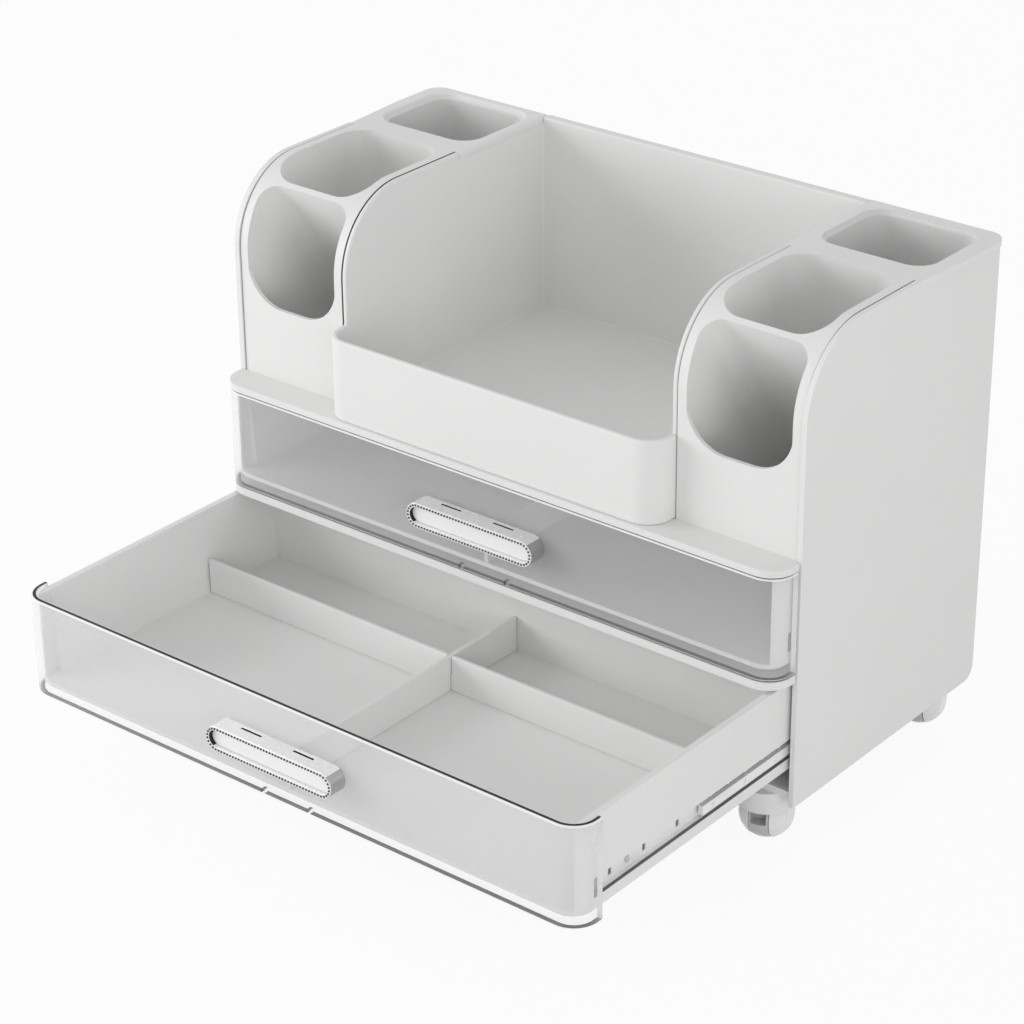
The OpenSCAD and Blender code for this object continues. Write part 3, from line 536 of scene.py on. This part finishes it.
def handle_painted_shade(node):
    """Painted shade on a handle: dark faces at the left end of its recess and in the hollow behind its face,
    where shade falls.

    Its round ends get a darker copy of its silver, painted shade.
    """
    low, high = (np.array(c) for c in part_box(node))
    middle, half = (low + high) / 2, (high - low) / 2
    rim, wall, recess_depth, hollow_start = 2 * MM, 0.5 * MM, 4.2 * MM, 4.5 * MM
    to_the_right, to_a_side = 0.45, 0.5

    def chosen(centre, normal):
        across = np.maximum(np.abs(centre[:, 0] - middle[0]) - half[0] + half[2], 0.0)
        inside = half[2] - np.hypot(across, centre[:, 2] - middle[2])
        deep = centre[:, 1] - low[1]
        left_end = (normal[:, 0] > to_the_right) & (centre[:, 0] < low[0] + half[2])
        recess = left_end & (deep < recess_depth) & (inside > rim)
        hollow = (deep > hollow_start) & (centre[:, 1] < high[1] - 2 * TOUCH) & (inside > wall)
        return recess | hollow

    # painted shade: the round ends, facing sideways, take the darker silver
    def shaded_round_end(centre, normal):
        aside = centre[:, 0] - middle[0]
        outward = (np.abs(normal[:, 0]) > to_a_side) & (aside * normal[:, 0] > 0)
        return outward & (np.abs(aside) > half[0] - half[2])

    # painted shade at the recess's left end and in the hollow
    second_finish(node, "painted shade line", chosen)
    second_finish(node, "handle painted end shade", shaded_round_end)


def groove_painted_shade(node):
    """Painted shade: dark faces in the grooves along a drawer box's sides, behind the rails, where shade
    falls.
    """
    low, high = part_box(node)
    edge, floor, foot, head = 0.5 * MM, 4.6 * MM, 5 * MM, 18 * MM

    def chosen(centre, normal):
        deep = high[0] - np.abs(centre[:, 0])
        height = centre[:, 2] - low[2]
        behind = centre[:, 1] > low[1] + BOX_FRONT_END
        return behind & (deep > edge) & (deep < floor) & (height > foot) & (height < head)

    second_finish(node, "painted recess shade", chosen)


for side in ("left", "right"):
    seam_painted_shade(f"{side}_brush_tower")
for drawer in ("upper", "lower"):
    handle_painted_shade(f"{drawer}_handle_frame")
    groove_painted_shade(f"{drawer}_drawer_box")


# Stones round the handles

def closed_piece(name, points, faces, material):
    """A new piece from an array of points and an array of faces, welded, closed and turned outwards."""
    mesh = bpy.data.meshes.new(name)
    mesh.from_pydata(points.reshape(-1, 3).tolist(), [], faces.reshape(-1, faces.shape[-1]).tolist())
    mesh.materials.append(material)
    weld = 0.001 * MM
    work = bmesh.new()
    work.from_mesh(mesh)
    bmesh.ops.remove_doubles(work, verts=work.verts, dist=weld)
    bmesh.ops.holes_fill(work, edges=work.edges)
    bmesh.ops.recalc_face_normals(work, faces=work.faces)
    work.to_mesh(mesh)
    work.free()
    obj = bpy.data.objects.new(name, mesh)
    bpy.context.scene.collection.objects.link(obj)
    return obj


def rim_sizes(node):
    """The straight and the radius of the line round the middle of a handle's rim, a stadium."""
    low, high = (np.array(c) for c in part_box(node))
    length, _, height = high - low
    return length - height, height / 2 - RIM_INSET


def rim_path(node, count):
    """Points round the middle of a handle's rim, a stadium: two straights joined by two half circles.

    Returns the points and their outward normals in x and z, at equal steps along the path, and the face's y.
    """
    low, high = (np.array(c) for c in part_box(node))
    run, radius = rim_sizes(node)
    bend = math.pi * radius
    s = (np.arange(count) / count * 2 * (run + bend) + run / 2) % (2 * (run + bend))
    second = s >= run + bend
    t = np.where(second, s - run - bend, s)
    angle = np.where(t < run, math.pi / 2, math.pi / 2 - (t - run) / radius)
    along = np.where(t < run, t - run / 2, run / 2)
    sign = np.where(second, -1.0, 1.0)
    normal = np.stack([sign * np.cos(angle), sign * np.sin(angle)], axis=1)
    middle = (low + high) / 2
    points = np.stack([middle[0] + sign * along, np.full(count, middle[2])], axis=1) + radius * normal
    return points, normal, low[1]


def cut_stones(node, frame_node):
    """Eight-sided stones round a handle's rim: rings of radius r_k at height h_k, closed by a table point.

    Point (i, k, j) is c_i + r_k (cos a_kj, sin a_kj) at h_k ahead of the face. The angle a_kj is 45 j degrees
    on the two lowest rings, and each ring above them is turned by 22.5 degrees more.
    """
    run, radius = rim_sizes(frame_node)
    count = int(2 * (run + math.pi * radius) / STONE_PITCH)
    centre, _, face = rim_path(frame_node, count)
    reach = np.array([1.0, 1.0, 0.78, 0.5, 0.0]) * STONE_RADIUS
    height = np.array([-0.1, 0.2, 0.48, 0.62, 0.64]) * MM
    rings, sides = len(reach), 8
    k, j = np.meshgrid(np.arange(rings), np.arange(sides), indexing="ij")
    angle = 2 * math.pi / sides * (j + np.maximum(k - 1, 0) / 2)
    x = centre[:, None, None, 0] + reach[k] * np.cos(angle)
    z = centre[:, None, None, 1] + reach[k] * np.sin(angle)
    points = np.stack([x, np.broadcast_to(face - height[k], x.shape), z], axis=-1)
    index = np.arange(count * rings * sides).reshape(count, rings, sides)
    a, b = index[:, :-1], index[:, 1:]
    faces = np.stack([a, b, np.roll(b, -1, axis=2), np.roll(a, -1, axis=2)], axis=-1)
    dress(closed_piece(piece_name(node, "cut"), points, faces, finishes["crystal"]), node)


def stone_bed(node, frame_node):
    """Pale bed under the stones: a flat band swept round the handle's rim.

    Corner (i, j) is c_i + w_j n_i at h_j ahead of the face, where w_j is plus or minus half the band's width
    and h_j plus or minus half its thickness.
    """
    centre, normal, face = rim_path(frame_node, BED_STEPS)
    across = np.array([-1, -1, 1, 1]) * BED_WIDTH / 2
    ahead = np.array([-1, 1, 1, -1]) * BED_THICKNESS / 2
    plan = centre[:, None, :] + across[None, :, None] * normal[:, None, :]
    points = np.stack([plan[..., 0], np.broadcast_to(face - ahead, plan.shape[:2]), plan[..., 1]], axis=-1)
    a = np.arange(BED_STEPS * 4).reshape(BED_STEPS, 4)
    b = np.roll(a, -1, axis=0)
    faces = np.stack([a, np.roll(a, -1, axis=1), np.roll(b, -1, axis=1), b], axis=-1)
    obj = closed_piece(piece_name(node, "bed"), points, faces, finishes["stone bed"])
    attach(obj, body_of_node[node])


for drawer in ("upper", "lower"):
    cut_stones(f"{drawer}_handle_stones", f"{drawer}_handle_frame")
    stone_bed(f"{drawer}_handle_stones", f"{drawer}_handle_frame")


# Stage, light and camera

def white_where_seen(tree, seen, elsewhere):
    """A number for camera, mirror and glass rays, and another for all other rays."""
    path = tree.nodes.new("ShaderNodeLightPath")
    first = tree.nodes.new("ShaderNodeMath")
    first.operation = "MAXIMUM"
    second = tree.nodes.new("ShaderNodeMath")
    second.operation = "MAXIMUM"
    tree.links.new(path.outputs["Is Camera Ray"], first.inputs[0])
    tree.links.new(path.outputs["Is Glossy Ray"], first.inputs[1])
    tree.links.new(first.outputs[0], second.inputs[0])
    tree.links.new(path.outputs["Is Transmission Ray"], second.inputs[1])
    choose = tree.nodes.new("ShaderNodeMapRange")
    choose.inputs["To Min"].default_value = elsewhere
    choose.inputs["To Max"].default_value = seen
    tree.links.new(second.outputs[0], choose.inputs["Value"])
    return choose.outputs["Result"]


def studio_floor():
    """A wide pale floor. Where it is seen it is mostly white of its own, and it keeps the soft shadow."""
    material = bpy.data.materials.new("pale floor")
    material.use_nodes = True
    tree = material.node_tree
    tree.nodes.clear()
    out = tree.nodes.new("ShaderNodeOutputMaterial")
    mix = tree.nodes.new("ShaderNodeMixShader")
    paper = tree.nodes.new("ShaderNodeBsdfDiffuse")
    paper.inputs["Color"].default_value = (0.9, 0.9, 0.9, 1.0)
    white = tree.nodes.new("ShaderNodeEmission")
    white.inputs["Strength"].default_value = 1.0
    tree.links.new(white_where_seen(tree, seen=0.92, elsewhere=0.0), mix.inputs["Fac"])
    tree.links.new(paper.outputs[0], mix.inputs[1])
    tree.links.new(white.outputs[0], mix.inputs[2])
    tree.links.new(mix.outputs[0], out.inputs["Surface"])
    mesh = bpy.data.meshes.new("floor")
    corners = np.array([(-1, -1, 0), (1, -1, 0), (1, 1, 0), (-1, 1, 0)]) * FLOOR_HALF
    mesh.from_pydata(corners.tolist(), [], [(0, 1, 2, 3)])
    mesh.materials.append(material)
    floor = bpy.data.objects.new("floor", mesh)
    bpy.context.scene.collection.objects.link(floor)


def studio_world(level):
    """An even white room, which lights the part at the level and is seen as plain white."""
    world = bpy.data.worlds.new("white room")
    bpy.context.scene.world = world
    world.use_nodes = True
    tree = world.node_tree
    tree.nodes.clear()
    out = tree.nodes.new("ShaderNodeOutputWorld")
    background = tree.nodes.new("ShaderNodeBackground")
    background.inputs["Color"].default_value = (1.0, 1.0, 1.0, 1.0)
    tree.links.new(white_where_seen(tree, seen=1.0, elsewhere=level), background.inputs["Strength"])
    tree.links.new(background.outputs[0], out.inputs["Surface"])


def soft_box(name, place, width, height, power):
    """A large area lamp that faces the part."""
    data = bpy.data.lights.new(name, "AREA")
    data.shape = "RECTANGLE"
    data.size = width
    data.size_y = height
    data.energy = power
    lamp = bpy.data.objects.new(name, data)
    lamp.location = place
    lamp.rotation_euler = (Vector(LAMP_TARGET) - Vector(place)).to_track_quat("-Z", "Y").to_euler()
    bpy.context.scene.collection.objects.link(lamp)


def photo_camera():
    """The photo's viewpoint: azimuth, height angle and a slight roll, from a fit to the photo's edges."""
    place = Vector((0.9002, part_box("right_side_panel")[0][1] - 1.08882, 0.85337))
    azimuth, height, roll = (math.radians(v) for v in (39.413, 26.927, -0.595))
    level_share = math.cos(height)
    back = Vector((math.sin(azimuth) * level_share, -math.cos(azimuth) * level_share, math.sin(height)))
    level = Vector((math.cos(azimuth), math.sin(azimuth), 0.0))
    upright = back.cross(level)
    right = level * math.cos(roll) + upright * math.sin(roll)
    up = upright * math.cos(roll) - level * math.sin(roll)
    data = bpy.data.cameras.new("camera")
    data.sensor_fit = "HORIZONTAL"
    data.sensor_width = 36.0
    data.lens = 109.52
    data.clip_start = 0.05
    data.clip_end = 30.0
    camera = bpy.data.objects.new("camera", data)
    turn = Matrix((right, up, back)).transposed()
    camera.matrix_world = Matrix.Translation(place) @ turn.to_4x4()
    bpy.context.scene.collection.objects.link(camera)
    bpy.context.scene.camera = camera


studio_floor()
studio_world(0.65)
soft_box("left soft box", (-1.6, -1.15, 0.7), width=1.2, height=1.0, power=17.0)
soft_box("right soft box", (1.75, -1.0, 0.5), width=1.2, height=0.8, power=7.5)
photo_camera()
bpy.context.scene.view_settings.view_transform = "Standard"
